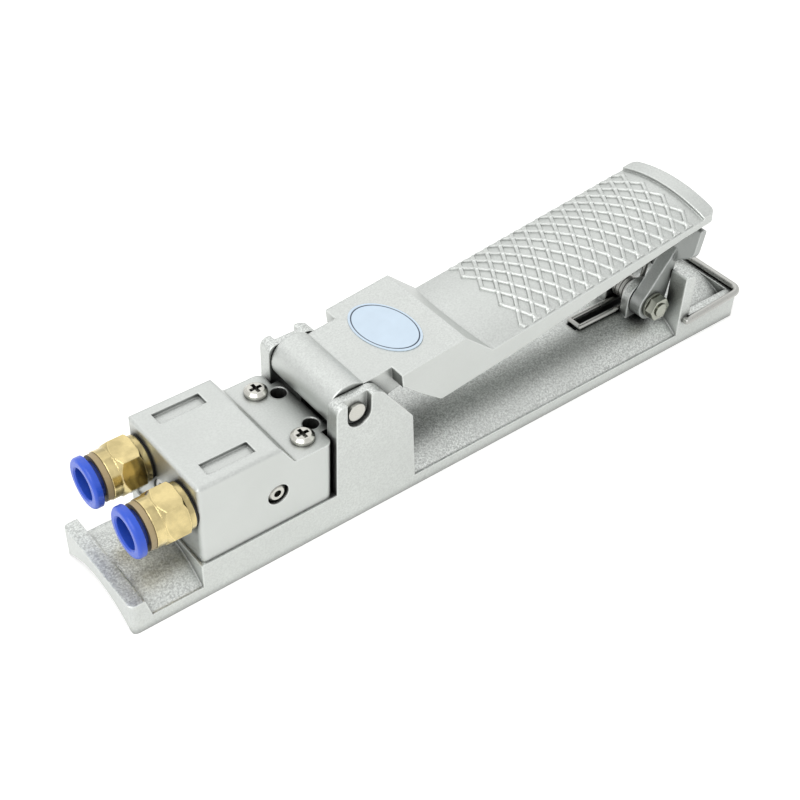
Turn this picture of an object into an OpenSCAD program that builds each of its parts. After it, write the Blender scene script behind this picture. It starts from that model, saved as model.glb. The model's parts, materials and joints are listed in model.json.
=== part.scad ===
// Foot pedal air valve: cast base with hinged treadle, two-port spool valve, sprung lock flap, wire bail.
// Lengths are in millimetres. X runs from the tube fittings to the free end of the pedal, Z is up.
// Stations along X are measured from the left end of the base and centred by placed() at the end.

/* [Base casting] */
// overall length of the base
base_len = 254; // [200:1:300]
// width of the base
base_w = 40; // [36:0.5:52]
// height of the floor at its two long edges
edge_h = 4.7; // [3.5:0.1:7]
// rise of the arched floor from its edges to its crown
arch_rise = 7; // [4:0.1:9]
// radius of the four upright corners of the base
corner_r = 2; // [1:0.1:3]
// width of the flat foot along each long edge
foot_w = 0.9; // [0.5:0.1:3]
// thickness of the lip at the fitting end, at its top
lip_t = 5; // [3:0.1:8]
// extra thickness of that lip at its root
lip_draft = 1.8; // [0:0.1:3]
// thickness of the wall at the pedal end
end_wall_t = 4; // [2.5:0.1:7]
// thickness of the two side walls at the pedal end
side_wall_t = 3; // [2:0.1:5]
// station where the pedestal of the valve starts
pedestal_x = 23.9; // [15:0.1:35]
// height of the pedestal top
pedestal_top = 13.8; // [12.5:0.1:20]
// thickness of each hinge ear
ear_t = 5; // [3:0.1:7]
// length of each hinge ear at its foot
ear_foot = 31; // [26:0.5:40]
// drop of each ear's back corner below the pin
ear_drop = 11.3; // [8:0.1:14]
// depth of the U-shaped recess around each pin end
recess_depth = 2.4; // [1:0.1:3]
// width of that recess
recess_w = 8.8; // [8:0.1:11]

/* [Hinge] */
// station of the hinge pin
pin_x = 80.2; // [72:0.1:95]
// height of the hinge pin
pin_z = 42.8; // [40:0.1:50]
// diameter of the hinge pin
pin_d = 5; // [4:0.1:6]
// diameter of the peened pin ends
pin_head_d = 6; // [5.6:0.1:7]
// thickness of the peened pin ends
pin_head_t = 1.2; // [0.8:0.1:2]
// radius of the ear around the pin
ear_head_r = 7.8; // [6:0.1:9]

/* [Pedal] */
// distance of the pedal's long edges from those of the base
pedal_inset = 0.5; // [0.3:0.1:3]
// slope of the treadle at rest, in degrees
pedal_tilt = 6.7; // [5.5:0.1:8]
// radius of the hinge roll
roll_r = 7.8; // [7:0.1:9]
// height of the hub top over the pin, square to the treadle
hub_top = 4.6; // [3:0.1:7]
// distance along the pedal from the pin to the shoulders
shoulder_u = 16.7; // [16:0.1:20]
// distance along the pedal from the pin to the end of the hub top
hub_u = 41.3; // [38:0.1:48]
// distance along the pedal from the pin to the start of the treadle
treadle_u = 51.9; // [49:0.1:60]
// drop of the treadle below the hub top
treadle_drop = 11.7; // [8:0.1:13]
// thickness of the treadle plate
treadle_t = 2.2; // [1.8:0.1:3]
// thickness of the hub top
hub_t = 3.5; // [2.5:0.1:5]
// thickness of the side skirts
skirt_t = 3; // [2:0.1:5]
// depth of the skirts below the hub top, at the hub
skirt_depth = 19.2; // [15:0.1:21]
// distance from the shoulders to the lowest point of the skirts
skirt_low = 14; // [12:0.1:16]
// distance from the start of the treadle to where the skirts start to rise
skirt_past = 10.6; // [8:0.1:13]
// distance of the pedal tip from the end of the base
tip_setback = 23.6; // [15:0.1:30]
// rise of the arched treadle from its long edges to its middle
treadle_camber = 3.6; // [1:0.1:4.5]
// radius of the corners of the pedal tip
tip_corner_r = 2.4; // [1:0.1:6]
// height of the raised ridge at the tip
ridge_h = 1.1; // [0.6:0.1:3]
// length of that ridge on the centre line
ridge_len = 5.6; // [3:0.1:8]
// width of the toe that pushes the spool
toe_w = 12; // [8:0.1:16]
// radius of the toe nose
toe_r = 4; // [3:0.1:5]
// length of the oval label, across the pedal
label_len = 27.2; // [18:0.1:29]
// width of the oval label, along the pedal
label_w = 16.8; // [10:0.1:18]
// turn of the oval label on the hub, in degrees
label_turn = 10.8; // [0:0.1:15]
// distance of the label's middle from the shoulders
label_in = 9.1; // [9:0.1:13]
// shift of the label towards the far side
label_shift = 0.8; // [0:0.1:2]
// thickness of the oval label
label_t = 0.3; // [0.2:0.05:0.5]

/* [Valve body] */
// setback of the body from the edge of the pedestal
body_setback = 0.9; // [0.5:0.1:3]
// height of the raised top over the pedestal
body_h = 29.6; // [27:0.1:36]
// height of the lower step over the pedestal
step_h = 22.2; // [20:0.1:25]
// length of the raised top
raised_len = 28.2; // [24:0.1:32]
// length of the slanted face between the two levels
slope_len = 4.6; // [2:0.1:6]
// width of the tongue between the ears
tongue_w = 26.4; // [20:0.1:28]
// radius of the body corners beside the pedal
body_r = 2.5; // [1:0.1:4]
// radius of the body corners beside the fittings
front_r = 1.6; // [0.4:0.1:2]
// radius of the top edges
top_edge_r = 1.4; // [0.5:0.1:2]
// depth of the two label windows
window_depth = 1.2; // [0.4:0.1:1.5]
// distance of each label window's middle from the side of the body
window_edge = 6.4; // [5.3:0.1:8.3]
// length of a label window
window_len = 16; // [10:0.1:20]
// width of a label window
window_w = 5; // [3:0.1:8]
// distance of each body screw from the side of the body
screw_edge = 6.9; // [5.3:0.1:8.3]
// nominal diameter of a body screw
screw_d = 4; // [3:0.1:5]
// diameter of a screw head
screw_head_d = 7.4; // [6:0.1:8.5]
// height of a screw head
screw_head_h = 2.1; // [1.8:0.1:3.5]
// diameter of an exhaust hole
exhaust_d = 5.2; // [3:0.1:5.4]
// distance across of the two exhaust holes
exhaust_pitch = 17; // [14:0.1:18]
// diameter of the plug in the near side
side_plug_d = 7.2; // [4:0.1:7.6]
// height of that plug over the spool
side_plug_rise = 1.7; // [0:0.1:2.5]

/* [Fittings] */
// distance of each port from the side of the body
port_edge = 7.4; // [6.6:0.1:7.6]
// height of the ports over the pedestal
port_h = 18.7; // [18.3:0.1:20]
// outer diameter of the air tube
tube_d = 10; // [8:0.1:10.5]
// size of the hexagon across its flats
hex_af = 16; // [15.6:0.1:18]
// length of the hexagon
hex_len = 7.6; // [6:0.1:10]
// length of the round nose of a fitting
nose_len = 3; // [0.5:0.1:4]
// diameter of the round nose
nose_d = 15.4; // [14.8:0.1:15.6]
// diameter of the collar next to the body
collar_d = 15; // [14.6:0.1:16]
// thickness of that collar
collar_t = 2; // [1:0.1:3]
// thickness of the seal on the body face
port_seal_t = 0.8; // [0.6:0.1:2]
// length of thread left free between collar and seal
thread_gap = 0; // [0:0.1:3]
// diameter of the threaded shank
shank_d = 12.8; // [12.2:0.1:13.2]
// length of the threaded shank in the body
shank_len = 10; // [7:0.1:11]
// diameter of the release ring
ring_d = 16.2; // [15:0.1:17]
// thickness of the release ring flange
ring_t = 2.6; // [2:0.1:4]
// travel of a release ring
ring_travel = 1.3; // [1:0.1:1.5]
// thickness of the visible part of a sleeve
sleeve_t = 1.9; // [1:0.1:3]
// length of a sleeve inside its fitting
sleeve_in = 4.6; // [4:0.1:5]
// thickness of a grab ring
grab_t = 0.6; // [0.4:0.1:1]
// reach of a release ring's tube into its fitting
ring_reach = 3; // [2:0.1:3.2]

/* [Spool and its parts] */
// height of the spool over the pedestal
spool_h = 10.8; // [10:0.1:11.2]
// distance of the inlet drilling from the body face
inlet_run = 26.6; // [26:0.1:27.2]
// distance of the outlet drilling behind the inlet
outlet_run = 7.1; // [6.6:0.1:7.6]
// distance of the exhaust seal behind the inlet
exhaust_run = 13.2; // [12.8:0.1:13.6]
// distance of the rear spool seal before the inlet
seal_before = 6.9; // [6.6:0.1:7.2]
// distance of the middle spool seal behind the inlet
seal_behind = 3.6; // [3.4:0.1:3.8]
// diameter of the spool bore
spool_bore_d = 10; // [8.5:0.1:10.4]
// diameter of the spool stem
stem_d = 6; // [5:0.1:6.5]
// diameter of the end plug bore
plug_d = 13; // [12:0.1:13.3]
// length of the end plug
plug_len = 5.5; // [5:0.1:7]
// depth of the spring pocket in the spool
spring_pocket = 3.4; // [2:0.1:4]
// diameter of the spring wire of the spool
spool_wire_d = 1; // [0.6:0.05:1.2]

/* [Lock flap] */
// distance of the flap pivot from the end of the base
flap_back = 38.8; // [36:0.1:42]
// height of the flap pivot
flap_z = 17.7; // [17:0.1:20]
// lean of the flap at rest, in degrees
flap_lean = 10.4; // [8:0.1:13]
// offset of the flap face from the line through its pivot
flap_offset = 4.4; // [3.8:0.1:5]
// thickness of the flap
flap_t = 2.7; // [2:0.1:3.2]
// distance of the flap shoulders from the pivot
flap_lip_r = 16.4; // [16.2:0.1:18]
// distance of the flap's lower edge from the pivot, between the posts
flap_low = 10.5; // [9.5:0.1:14]
// rise of the flap's slanted lower corners
flap_slant = 5.5; // [3:0.1:8]
// run of the flap's face from its offset to its leaning top
flap_top_run = 8; // [7.5:0.1:8.5]
// play between the flap top and the pedal
flap_play = 1; // [0.9:0.1:2]
// radius of the eyes of the flap arms
eye_r = 6.1; // [5:0.1:6.4]
// thickness of each flap arm
arm_t = 5; // [3:0.1:6]
// thickness of each base cheek beside the spring
cheek_t = 3.3; // [2.5:0.1:4.5]
// gap between the two cheeks
cheek_gap = 7.4; // [7.3:0.1:9]
// nominal diameter of the pivot bolt
bolt_d = 5; // [4:0.1:5.5]
// size of the bolt head and nut across their flats
nut_af = 8; // [7:0.1:9]
// height of the nut
nut_h = 3; // [2.6:0.1:5]
// thickness of a washer
washer_t = 1; // [0.8:0.1:2]
// diameter of a washer
washer_d = 9.6; // [9.4:0.1:11]
// wire diameter of the torsion spring
torsion_wire_d = 1.8; // [1:0.1:1.9]
// length of the spring leg on the floor
leg_len = 25; // [15:0.1:27]
// depth of the pocket in the floor between the spring legs
pocket_depth = 3; // [1:0.1:3.4]
// distance of the stop posts from the end of the base
post_back = 31.6; // [30.6:0.1:32]
// thickness of the stop posts
post_t = 5; // [4:0.1:5.4]
// height of the stop posts
post_h = 29.6; // [26:0.1:29.8]
// radius of the back edge of the post tops
post_r = 2.5; // [2.2:0.1:4]

/* [Bail] */
// wire diameter of the bail
bail_d = 2.5; // [1.8:0.1:3]
// distance of the bail pivot behind the post front
bail_pivot_in = 2.8; // [2.2:0.1:3]
// height of the bail pivot
bail_z = 11.1; // [10:0.1:13]
// distance of the bail cross bar from the end of the base
bail_setback = 1.6; // [1.4:0.1:3]
// bend radius of the bail corners
bail_bend = 3.2; // [2.6:0.1:6]

/* [Clearances] */
// radial clearance of turning and sliding fits
run_fit = 0.05; // [0.03:0.01:0.08]
// clearance of parts that are fixed in each other
seat_fit = 0.02; // [0.01:0.01:0.05]
// gap between neighbouring faces that move past each other
side_gap = 0.4; // [0.3:0.05:0.5]
// gap between the valve body and the ears
body_gap = 0.8; // [0.5:0.1:2]

/* [Hidden] */
$fn = 64;
eps = 0.01;
arc_steps = 6;
// base
half_w = base_w / 2;
crown = edge_h + arch_rise;
arch_half = half_w - foot_w;
arch_r = (arch_half ^ 2 + arch_rise ^ 2) / (2 * arch_rise);
ear_x = pin_x - ear_head_r - 0.4;
ear_in = half_w - ear_t;
ear_top_h = ear_head_r - 2;
wall_top = crown;
// pedal, in its own frame: u along the treadle from the pin, v square to it
pedal_w = base_w - 2 * pedal_inset;
pedal_half = pedal_w / 2;
neck_half = ear_in - side_gap;
// the neck beside the roll stands back a little from the roll's ends
neck_web = neck_half - 0.3;
treadle_v = hub_top - treadle_drop;
camber_r = (pedal_half ^ 2 + treadle_camber ^ 2) / (2 * treadle_camber);
camber_v = treadle_v + treadle_camber - camber_r;
under_v = camber_v + sqrt((camber_r - treadle_t) ^ 2 - pedal_half ^ 2);
skirt_v = hub_top - skirt_depth;
tip_u = (base_len - tip_setback - pin_x) / cos(pedal_tilt);
label_u = shoulder_u + label_in;
// valve body
body_x = pedestal_x + body_setback;
body_end = ear_x - body_gap;
body_half = half_w - body_setback + 0.2;
window_pitch = 2 * (body_half - window_edge);
screw_pitch = 2 * (body_half - screw_edge);
port_pitch = 2 * (body_half - port_edge);
tongue_end = pin_x - toe_r - 2.1;
port_z = pedestal_top + port_h;
spool_z = pedestal_top + spool_h;
body_top = pedestal_top + body_h;
step_top = pedestal_top + step_h;
screw_x = body_end - 6.2;
exhaust_x = body_end - 0.5;
inlet_x = body_x + inlet_run;
outlet_x = inlet_x + outlet_run;
exhaust_seal_x = inlet_x + exhaust_run;
drill_r = 1.8;
side_plug_len = 4.2;
side_z = spool_z + side_plug_rise;
// fittings, stations measured outwards from the body face
collar_x = body_x - port_seal_t - thread_gap - collar_t;
// turn of the hexagons, in degrees
hex_turn = 40;
hex_x = collar_x - hex_len;
nose_x = hex_x - nose_len;
tube_r = tube_d / 2 + 0.15;
ring_tube_r = tube_r + 0.5;
socket_r = nose_d / 2 - 1.1;
socket_len = nose_len + hex_len - 1.7;
ring_x = nose_x - sleeve_t - ring_travel - side_gap - ring_t;
// spool
spool_r = spool_bore_d / 2 - run_fit;
bore_end = tongue_end - 2.6;
spool_start = body_x + plug_len + 6.2;
spool_end = tongue_end + 2.8;
spring_r = spool_bore_d / 2 - 2;
ring_groove_r = spool_r - 1.6;
// flap, in its own frame: t square to the flap, w along it from the pivot
flap_x = base_len - flap_back;
flap_half = pedal_half + 0.3;
flap_face_x = flap_x + flap_offset + flap_top_run;
pedal_under_z = pin_z + (flap_face_x - pin_x) * tan(pedal_tilt) + under_v / cos(pedal_tilt);
flap_w = (pedal_under_z - flap_play - flap_z) / cos(flap_lean);
cheek_out = cheek_gap / 2 + cheek_t;
arm_in = cheek_out + side_gap;
arm_out = arm_in + arm_t;
post_x = base_len - post_back;
post_in = arm_out + side_gap;
bolt_r = bolt_d / 2;
coil_r = bolt_r + torsion_wire_d / 2 + 0.35;
coil_turns = 4;
coil_pitch = torsion_wire_d - 0.1;
leg_y = coil_pitch * (coil_turns - 1) / 2;
// the hairpin leg lies on the arched floor, on both sides of the pocket
leg_z = crown - arch_r + sqrt((arch_r + torsion_wire_d / 2 + seat_fit) ^ 2 - leg_y ^ 2);
pocket_half = leg_y - 0.4;
// bail
bail_r = bail_d / 2;
bail_x = post_x + bail_pivot_in;
bail_arm_y = half_w + bail_r + 0.25;
bar_x = base_len - bail_setback;
bar_z = wall_top + bail_r + 0.05;

// Outline helpers: corners are [x, y, radius], and a radius turns a corner into an arc.
function unit(v) = v / norm(v);
function flat(c) = [c[0], c[1]];
function turn(a) = a > 180 ? a - 360 : a < -180 ? a + 360 : a;
function corner_arc(before, c, after, r) =
    let (d0 = unit(before - c), d1 = unit(after - c), half = acos(d0 * d1) / 2,
        mid = c + unit(d0 + d1) * r / sin(half),
        s = c + d0 * r / tan(half) - mid, e = c + d1 * r / tan(half) - mid,
        a0 = atan2(s[1], s[0]), sweep = turn(atan2(e[1], e[0]) - a0))
    [for (i = [0:arc_steps]) mid + r * [cos(a0 + sweep * i / arc_steps), sin(a0 + sweep * i / arc_steps)]];
function rounded(corners) =
    let (n = len(corners))
    [for (i = [0:n - 1])
        each corners[i][2] > 0
            ? corner_arc(flat(corners[(i + n - 1) % n]), flat(corners[i]), flat(corners[(i + 1) % n]), corners[i][2])
            : [flat(corners[i])]];

// Extrudes an outline drawn in X and Z across the base, from y0 to y1.
module across(y0, y1) translate([0, y1, 0]) rotate([90, 0, 0]) linear_extrude(y1 - y0) children();
// Extrudes an outline drawn in Y and Z along the base, from x0 to x1.
module along(x0, x1) translate([x0, 0, 0]) rotate([90, 0, 90]) linear_extrude(x1 - x0) children();
module rod_x(p, r, l) translate(p) rotate([0, 90, 0]) cylinder(r = r, h = l);
module rod_y(p, r, l) translate(p) rotate([-90, 0, 0]) cylinder(r = r, h = l);
module both_sides() { children(); mirror([0, 1, 0]) children(); }
module at_ports() for (s = [-1, 1]) translate([0, s * port_pitch / 2, port_z]) children();
// Ring around X from x0 to x1.
module ring_x(x0, x1, r_in, r_out)
    translate([x0, 0, 0]) rotate([0, 90, 0]) difference() {
        cylinder(r = r_out, h = x1 - x0);
        translate([0, 0, -eps]) cylinder(r = r_in, h = x1 - x0 + 2 * eps);
    }
// Round-section ring around X at station x.
module o_ring_x(x, r, wire_r)
    translate([x, 0, 0]) rotate([0, 90, 0]) rotate_extrude() translate([r, 0]) circle(r = wire_r);
module pedal_frame() translate([pin_x, 0, pin_z]) rotate([0, -pedal_tilt, 0]) children();
module flap_frame() translate([flap_x, 0, flap_z]) rotate([0, flap_lean, 0]) children();
module spool_frame() translate([0, 0, spool_z]) children();

// Space under the arched floor, whose top face is parallel to it.
module arch_space(x0, x1, top)
    translate([x0, 0, top - arch_r]) rotate([0, 90, 0]) cylinder(r = arch_r, h = x1 - x0, $fn = 128);

module floor_arch() {
    intersection() {
        translate([0, -half_w, 0]) cube([base_len, base_w, crown]);
        union() {
            arch_space(0, base_len, crown);
            translate([0, -half_w, 0]) cube([base_len, base_w, edge_h]);
        }
    }
}

module lip() across(-half_w, half_w)
    polygon([[0, 0], [lip_t + lip_draft, 0], [lip_t + lip_draft, edge_h], [lip_t, wall_top], [0, wall_top]]);

module end_walls() {
    translate([base_len - end_wall_t, -half_w, 0]) cube([end_wall_t, base_w, wall_top]);
    both_sides() translate([post_x, half_w - side_wall_t, 0]) cube([post_back, side_wall_t, wall_top]);
}

module posts() both_sides() across(post_in, half_w)
    polygon(rounded([[post_x, 0, 0], [post_x + post_t, 0, 0], [post_x + post_t, post_h, post_r],
        [post_x, post_h, 0]]));

module ears() both_sides() across(ear_in, half_w)
    polygon(rounded([[ear_x, 0, 0], [ear_x + ear_foot, 0, 0],
        [ear_x + ear_foot - 2.3, pin_z - ear_drop, 2.5], [pin_x + ear_head_r + 1, pin_z + ear_top_h - 1.4, 1.5],
        [pin_x + ear_head_r - 1.6, pin_z + ear_top_h, 3], [ear_x, pin_z + ear_top_h, 2.5]]));

module ear_recess() both_sides() {
    rod_y([pin_x, half_w - recess_depth, pin_z], recess_w / 2, recess_depth + eps);
    translate([pin_x - recess_w / 2, half_w - recess_depth, pin_z])
        cube([recess_w, recess_depth + eps, ear_top_h + eps]);
}

module cheeks() both_sides() translate([0, cheek_gap / 2, 0]) {
    rod_y([flap_x, 0, flap_z], eye_r + 0.3, cheek_t);
    translate([flap_x - eye_r - 0.3, 0, edge_h]) cube([2 * eye_r + 0.6, cheek_t, flap_z - edge_h]);
}

// Waste outside the rounded upright corners of the base.
module corner_waste() both_sides() for (end = [0, 1]) translate([end * base_len, half_w, -1])
    mirror([end, 0, 0]) linear_extrude(wall_top + 2) polygon(concat([[-1, -corner_r], [-1, 1], [corner_r, 1]],
        corner_arc([2 * corner_r, 0], [0, 0], [0, -2 * corner_r], corner_r)));

module leg_pocket()
    translate([flap_x - leg_len - torsion_wire_d, -pocket_half, crown - pocket_depth])
        cube([leg_len + eye_r + torsion_wire_d, 2 * pocket_half, arch_rise]);

module base() color("Silver") difference() {
    union() {
        floor_arch();
        lip();
        end_walls();
        translate([pedestal_x, -half_w, 0]) cube([ear_x - pedestal_x + eps, base_w, pedestal_top]);
        posts();
        ears();
        cheeks();
    }
    arch_space(-eps, base_len + eps, arch_rise);
    corner_waste();
    ear_recess();
    leg_pocket();
    rod_y([pin_x, -half_w, pin_z], pin_d / 2 + seat_fit, base_w);
    rod_y([flap_x, -cheek_out - eps, flap_z], bolt_r + seat_fit, 2 * cheek_out + 2 * eps);
    both_sides() rod_y([bail_x, half_w - 4, bail_z], bail_r + run_fit, 4 + eps);
    for (s = [-1, 1]) translate([screw_x, s * screw_pitch / 2, pedestal_top - 6.2])
        cylinder(r = screw_d / 2 + seat_fit, h = 6.2 + eps);
}

module body_outline() polygon(rounded([[body_x, pedestal_top, 0], [tongue_end, pedestal_top, 0],
    [tongue_end, step_top, 0], [body_x + raised_len + slope_len, step_top, top_edge_r],
    [body_x + raised_len, body_top, top_edge_r], [body_x, body_top, top_edge_r]]));

module body_plan() {
    polygon(rounded([[body_x, -body_half, front_r], [body_end, -body_half, body_r], [body_end, body_half, body_r],
        [body_x, body_half, front_r]]));
    translate([body_end - body_r, -tongue_w / 2]) square([tongue_end - body_end + body_r, tongue_w]);
}

module body_block() intersection() {
    across(-body_half, body_half) body_outline();
    translate([0, 0, pedestal_top]) linear_extrude(body_h) body_plan();
    along(body_x, tongue_end) polygon(rounded([[-body_half, pedestal_top, 0], [body_half, pedestal_top, 0],
        [body_half, body_top, top_edge_r], [-body_half, body_top, top_edge_r]]));
}

module label_windows() for (s = [-1, 1])
    translate([body_x + 6, s * window_pitch / 2 - window_w / 2, body_top - window_depth])
        cube([window_len, window_w, window_depth + eps]);

// Port bores, the drillings that lead from them to the spool bore, and the exhaust drillings.
module air_ways() {
    at_ports() rod_x([body_x - eps, 0, 0], shank_d / 2 + seat_fit, shank_len + 2);
    at_ports() rod_x([body_x, 0, 0], 3.2, inlet_x - body_x - 2);
    translate([0, -port_pitch / 2, port_z]) rod_x([body_x, 0, 0], drill_r, inlet_x - body_x);
    translate([0, port_pitch / 2, port_z]) rod_x([body_x, 0, 0], drill_r, outlet_x - body_x);
    translate([inlet_x, -port_pitch / 2, spool_z]) cylinder(r = drill_r, h = port_h - spool_h);
    translate([outlet_x, port_pitch / 2, spool_z]) cylinder(r = drill_r, h = port_h - spool_h);
    rod_y([inlet_x, -body_half - eps, side_z], side_plug_d / 2 + seat_fit, side_plug_len + 0.8);
    rod_y([inlet_x, -body_half, side_z], drill_r, body_half);
    rod_y([outlet_x, 0, spool_z], drill_r, port_pitch / 2);
    rod_y([exhaust_x, -exhaust_pitch / 2, spool_z], drill_r, exhaust_pitch);
    for (s = [-1, 1]) translate([exhaust_x, s * exhaust_pitch / 2, spool_z])
        cylinder(d = exhaust_d, h = step_h - spool_h + eps);
}

// Wide stretches of the spool bore, where a spool seal lets air past.
module chambers() spool_frame() {
    ring_x(inlet_x - 3.4, inlet_x + 2.6, spool_bore_d / 2 - eps, spool_bore_d / 2 + 1);
    ring_x(exhaust_seal_x - 1.1, bore_end, spool_bore_d / 2 - eps, spool_bore_d / 2 + 1);
}

module valve_body() color("Gainsboro") difference() {
    body_block();
    label_windows();
    air_ways();
    chambers();
    spool_frame() {
        rod_x([body_x - eps, 0, 0], plug_d / 2 + seat_fit, plug_len + 1.5 + 2 * eps);
        rod_x([body_x, 0, 0], spool_bore_d / 2, bore_end - body_x);
        rod_x([body_x, 0, 0], stem_d / 2 + 0.4, tongue_end);
        rod_x([tongue_end - 1.4, 0, 0], stem_d / 2 + 1.6 + seat_fit, 1.4 + eps);
        ring_x(body_x + 0.4, body_x + 1.5, plug_d / 2 - eps, plug_d / 2 + 0.6);
    }
    for (s = [-1, 1]) translate([screw_x, s * screw_pitch / 2, pedestal_top - eps])
        cylinder(r = screw_d / 2 + 0.2, h = step_h + 2 * eps);
    rod_y([pin_x, -body_half, pin_z], roll_r + side_gap, 2 * body_half);
}

module body_screw() {
    cross_w = screw_head_d * 0.16;
    difference() {
        union() {
            translate([0, 0, -step_h - 5.6]) cylinder(d = screw_d, h = step_h + 5.6 + eps);
            cylinder(d = screw_head_d, h = screw_head_h * 0.6);
            translate([0, 0, screw_head_h * 0.6 - eps])
                cylinder(d1 = screw_head_d, d2 = screw_head_d * 0.72, h = screw_head_h * 0.4 + eps);
        }
        for (a = [0, 90]) rotate([0, 0, a]) translate([-screw_head_d * 0.28, -cross_w / 2, screw_head_h * 0.4])
            cube([screw_head_d * 0.56, cross_w, screw_head_h]);
    }
}

module body_screws() color("LightGray") for (s = [-1, 1])
    translate([screw_x, s * screw_pitch / 2, step_top]) body_screw();

module side_plug() color("LightGray") translate([inlet_x, -body_half + 0.4, side_z]) rotate([-90, 0, 0])
    difference() {
        union() {
            translate([0, 0, side_plug_len / 4]) cylinder(d = side_plug_d, h = side_plug_len * 3 / 4);
            cylinder(d1 = side_plug_d * 0.62, d2 = side_plug_d, h = side_plug_len / 4 + eps);
        }
        translate([0, 0, -eps]) cylinder(d = side_plug_d * 0.34, h = side_plug_len / 2);
    }

// Brass push-in fitting: round nose, hexagon, collar and threaded shank, with a stepped bore for its insides.
module fitting_body() difference() {
    union() {
        rod_x([nose_x, 0, 0], nose_d / 2, nose_len + eps);
        translate([hex_x, 0, 0]) rotate([0, 90, 0]) intersection() {
            rotate([0, 0, hex_turn]) cylinder(d = hex_af / cos(30), h = hex_len + eps, $fn = 6);
            cylinder(d1 = nose_d + 0.2, d2 = nose_d + 0.2 + 2 * hex_len, h = hex_len + eps);
            cylinder(d1 = collar_d + 1.6 + 2 * hex_len, d2 = collar_d + 1.6, h = hex_len + eps);
        }
        rod_x([collar_x, 0, 0], collar_d / 2, collar_t);
        rod_x([collar_x + collar_t - eps, 0, 0], shank_d / 2, shank_len + port_seal_t + thread_gap);
    }
    rod_x([nose_x - eps, 0, 0], socket_r + seat_fit, socket_len + eps);
    rod_x([nose_x, 0, 0], tube_r, socket_len + 3);
    rod_x([nose_x, 0, 0], tube_r - 1.6, body_x + shank_len - nose_x + eps);
}

module fitting_bodies() color("Goldenrod") at_ports() fitting_body();

module port_seals() color("DimGray") at_ports()
    ring_x(body_x - port_seal_t, body_x, shank_d / 2 + seat_fit, collar_d / 2 - 0.5);

module fitting_sleeve() {
    ring_x(nose_x - sleeve_t, nose_x, ring_tube_r + run_fit, nose_d / 2 - 0.3);
    ring_x(nose_x - eps, nose_x + sleeve_in, ring_tube_r + run_fit, socket_r);
}

module fitting_sleeves() color("Tan") at_ports() fitting_sleeve();

module grab_rings() color("Silver") at_ports() 
    ring_x(nose_x + sleeve_in, nose_x + sleeve_in + grab_t, tube_r, socket_r);

module tube_seals() color("DimGray") at_ports() 
    ring_x(nose_x + sleeve_in + grab_t + 0.1, nose_x + socket_len - 0.1, tube_r, socket_r);

// Flange with a rounded front, and the tube that frees the grab ring when the flange is pushed in.
module release_ring() translate([ring_x, 0, 0]) rotate([0, 90, 0]) rotate_extrude()
    polygon(concat([[tube_r + 0.5, 0]], corner_arc([tube_r, 0], [ring_d / 2, 0], [ring_d / 2, ring_t], 1.1),
        [[ring_d / 2, ring_t], [ring_tube_r, ring_t], [ring_tube_r, nose_x + ring_reach - ring_x],
        [tube_r, nose_x + ring_reach - ring_x], [tube_r, 0.5]]));

module release_ring_near() color("RoyalBlue") translate([0, -port_pitch / 2, port_z]) release_ring();
module release_ring_far() color("RoyalBlue") translate([0, port_pitch / 2, port_z]) release_ring();

spool_seal_x = [inlet_x - seal_before, inlet_x + seal_behind, exhaust_seal_x];
module spool() color("Silver") spool_frame() difference() {
    union() {
        rod_x([spool_start, 0, 0], spool_r, bore_end - side_gap - spool_start);
        rod_x([spool_start, 0, 0], stem_d / 2 - run_fit, spool_end - spool_start);
    }
    rod_x([spool_start - eps, 0, 0], spring_r + spool_wire_d, spring_pocket);
    for (x = spool_seal_x) ring_x(x - 0.9, x + 0.9, ring_groove_r, spool_r + 1);
    for (i = [0, 1]) ring_x(spool_seal_x[i] + 1.9, spool_seal_x[i + 1] - 1.9, ring_groove_r, spool_r + 1);
}

module spool_seals() color("DimGray") spool_frame()
    for (x = spool_seal_x) o_ring_x(x, spool_r - 0.78, 0.8);

// Coil of round wire around X, swept along a helix.
module helix_x(x0, x1, r, wire_r, turns) {
    per_turn = 20;
    sides = 8;
    n = per_turn * turns;
    rise = (x1 - x0 - 2 * wire_r) / n;
    points = [for (i = [0:n], k = [0:sides - 1])
        let (a = 360 * i / per_turn, b = 360 * k / sides, d = r + wire_r * cos(b))
        [x0 + wire_r + rise * i + wire_r * sin(b), d * cos(a), d * sin(a)]];
    skin = [for (i = [0:n - 1], k = [0:sides - 1])
        let (p = i * sides + k, q = i * sides + (k + 1) % sides)
        each [[p, q, q + sides], [p, q + sides, p + sides]]];
    ends = [[for (k = [sides - 1:-1:0]) k], [for (k = [0:sides - 1]) n * sides + k]];
    polyhedron(points, concat(skin, ends));
}

module spool_spring() color("Silver") spool_frame()
    helix_x(body_x + 1.5 + 3.1, spool_start + spring_pocket - 0.1, spring_r, spool_wire_d / 2, 6);

module end_plug() color("Gainsboro") spool_frame() difference() {
    rod_x([body_x + 1.5, 0, 0], plug_d / 2, plug_len);
    rod_x([body_x + 4.5, 0, 0], spring_r + spool_wire_d, plug_len);
    ring_x(body_x + 2.4, body_x + 4.2, plug_d / 2 - 1.5, plug_d);
    translate([body_x + 1.5 - eps, -plug_d / 4, -0.6]) cube([0.7, plug_d / 2, 1.2]);
}

module plug_seal() color("DimGray") spool_frame() o_ring_x(body_x + 3.3, plug_d / 2 - 0.76, 0.74);

// Open retaining ring in front of the end plug.
module plug_clip() color("LightGray") spool_frame() difference() {
    ring_x(body_x + 0.45, body_x + 1.45, plug_d / 2 - 1.6, plug_d / 2 + 0.5);
    translate([body_x, -2, -plug_d]) cube([2, 4, plug_d]);
}

module stem_wiper() color("DimGray") spool_frame()
    ring_x(tongue_end - 1.4, tongue_end, stem_d / 2 + run_fit, stem_d / 2 + 1.6);

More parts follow.
